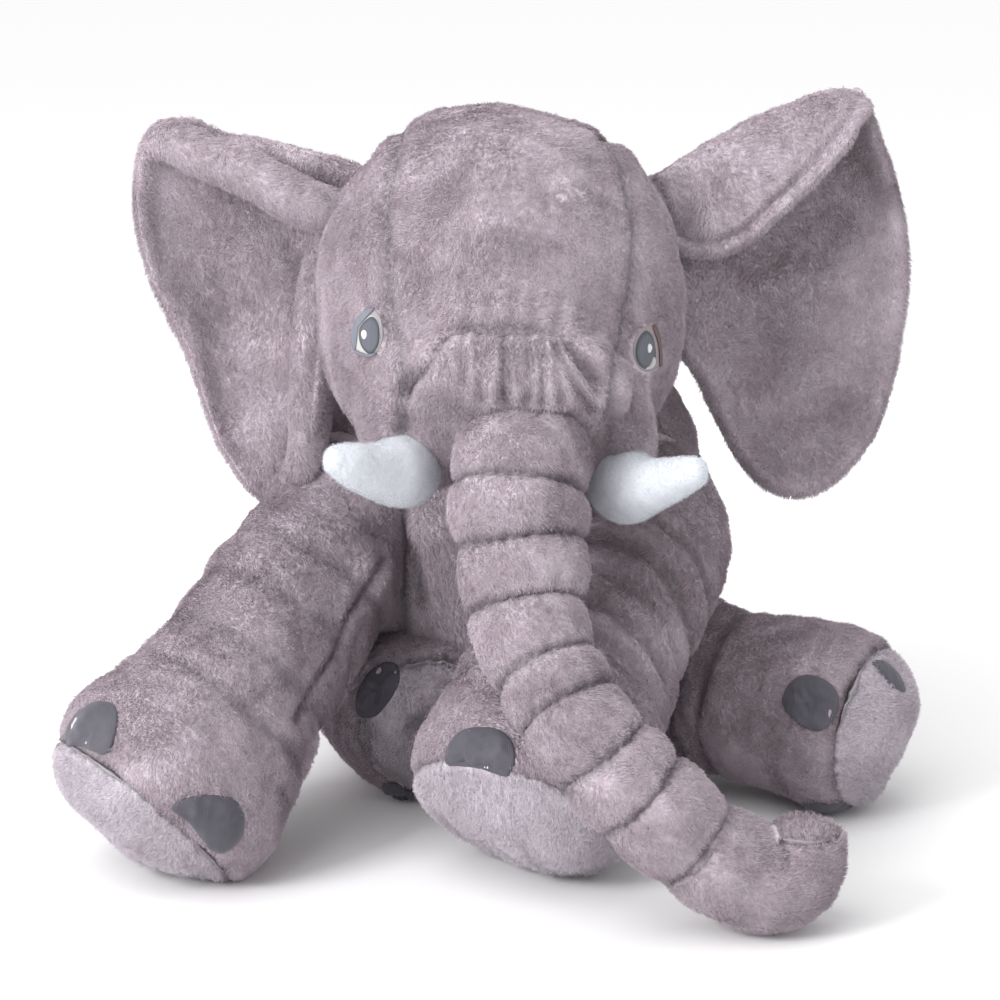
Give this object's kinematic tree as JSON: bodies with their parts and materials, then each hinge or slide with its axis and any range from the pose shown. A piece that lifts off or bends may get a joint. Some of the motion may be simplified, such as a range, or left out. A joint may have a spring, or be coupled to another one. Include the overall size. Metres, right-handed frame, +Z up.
{
  "type": "stuffed elephant",
  "caption": "Plush elephant sitting with its legs spread, with large folded ears, a long ringed trunk, white tusks and satin nails.",
  "frame": {"origin": "middle of the footprint box, at the height of the surface the toy sits on", "axes": "+Z up, the toy faces -Y, +X is the toy's own left side"},
  "size_m": [0.5271, 0.5453, 0.45],
  "materials": {
    "grey_plush": "soft short pile with a visible nap",
    "sole_plush": "smoother brushed pile",
    "nail_satin": "satin",
    "eye_embroidery": "satin-stitched thread",
    "tusk_velour": "white velour",
    "stuffing": "loose fibre fill"
  },
  "bodies": {
    "torso": {"torso_filling": "stuffing", "torso_left_panel": "grey_plush", "torso_right_panel": "grey_plush", "belly_panel": "grey_plush"},
    "head": {"head_filling": "stuffing", "forehead_panel": "grey_plush", "left_cheek_panel": "grey_plush", "right_cheek_panel": "grey_plush", "chin_panel": "grey_plush", "left_eye": "eye_embroidery", "right_eye": "eye_embroidery", "left_tusk_cover": "tusk_velour", "left_tusk_filling": "stuffing", "right_tusk_cover": "tusk_velour", "right_tusk_filling": "stuffing"},
    "trunk_upper": {"upper_trunk_skin": "grey_plush", "upper_trunk_filling": "stuffing"},
    "trunk_middle": {"middle_trunk_skin": "grey_plush", "middle_trunk_filling": "stuffing"},
    "trunk_lower": {"lower_trunk_skin": "grey_plush", "lower_trunk_filling": "stuffing", "trunk_tip_panel": "grey_plush"},
    "left_ear": {"left_ear_front_panel": "grey_plush", "left_ear_batting": "stuffing", "left_ear_back_panel": "grey_plush"},
    "right_ear": {"right_ear_front_panel": "grey_plush", "right_ear_batting": "stuffing", "right_ear_back_panel": "grey_plush"},
    "tail": {"tail_skin": "grey_plush", "tail_filling": "stuffing"},
    "left_foreleg": {"left_foreleg_skin": "grey_plush", "left_foreleg_sole": "sole_plush", "left_foreleg_nails": "nail_satin", "left_foreleg_filling": "stuffing"},
    "right_foreleg": {"right_foreleg_skin": "grey_plush", "right_foreleg_sole": "sole_plush", "right_foreleg_nails": "nail_satin", "right_foreleg_filling": "stuffing"},
    "left_hindleg": {"left_hindleg_skin": "grey_plush", "left_hindleg_sole": "sole_plush", "left_hindleg_nails": "nail_satin", "left_hindleg_filling": "stuffing"},
    "right_hindleg": {"right_hindleg_skin": "grey_plush", "right_hindleg_sole": "sole_plush", "right_hindleg_nails": "nail_satin", "right_hindleg_filling": "stuffing"}
  },
  "joints": [
    {"name": "neck_nod", "type": "hinge", "parent": "torso", "child": "head", "pos_m": [0.0015, 0.0395, 0.262], "axis": [-1, 0, 0], "range_deg": [0, 12]},
    {"name": "trunk_root_lift", "type": "hinge", "parent": "head", "child": "trunk_upper", "pos_m": [0.0145, -0.1405, 0.273], "axis": [-1, 0, 0], "range_deg": [0, 18]},
    {"name": "trunk_middle_lift", "type": "hinge", "parent": "trunk_upper", "child": "trunk_middle", "pos_m": [0.0175, -0.1945, 0.171], "axis": [-0.9598, -0.137, -0.245], "range_deg": [0, 20]},
    {"name": "trunk_tip_lift", "type": "hinge", "parent": "trunk_middle", "child": "trunk_lower", "pos_m": [0.1125, -0.2405, 0.054], "axis": [0, -1, 0], "range_deg": [0, 24]},
    {"name": "left_ear_flap", "type": "hinge", "parent": "head", "child": "left_ear", "pos_m": [0.1055, 0.0115, 0.325], "axis": [0.2, 0, -0.9798], "range_deg": [-24, 10]},
    {"name": "right_ear_flap", "type": "hinge", "parent": "head", "child": "right_ear", "pos_m": [-0.1065, 0.0115, 0.325], "axis": [0.1, 0, 0.995], "range_deg": [-24, 10]},
    {"name": "left_foreleg_swing", "type": "hinge", "parent": "torso", "child": "left_foreleg", "pos_m": [0.0995, 0.0115, 0.17], "axis": [0, 0, 1], "range_deg": [-8, 2]},
    {"name": "right_foreleg_swing", "type": "hinge", "parent": "torso", "child": "right_foreleg", "pos_m": [-0.1025, 0.0115, 0.158], "axis": [0, 0, -1], "range_deg": [-4, 18]},
    {"name": "left_hindleg_drop", "type": "hinge", "parent": "torso", "child": "left_hindleg", "pos_m": [0.0875, 0.0695, 0.07], "axis": [1, 0, 0], "range_deg": [0, 16]},
    {"name": "right_hindleg_drop", "type": "hinge", "parent": "torso", "child": "right_hindleg", "pos_m": [-0.0825, 0.0695, 0.07], "axis": [1, 0, 0], "range_deg": [0, 16]},
    {"name": "tail_swing", "type": "hinge", "parent": "torso", "child": "tail", "pos_m": [0.0015, 0.1995, 0.092], "axis": [1, 0, 0], "range_deg": [-20, 20]}
  ]
}
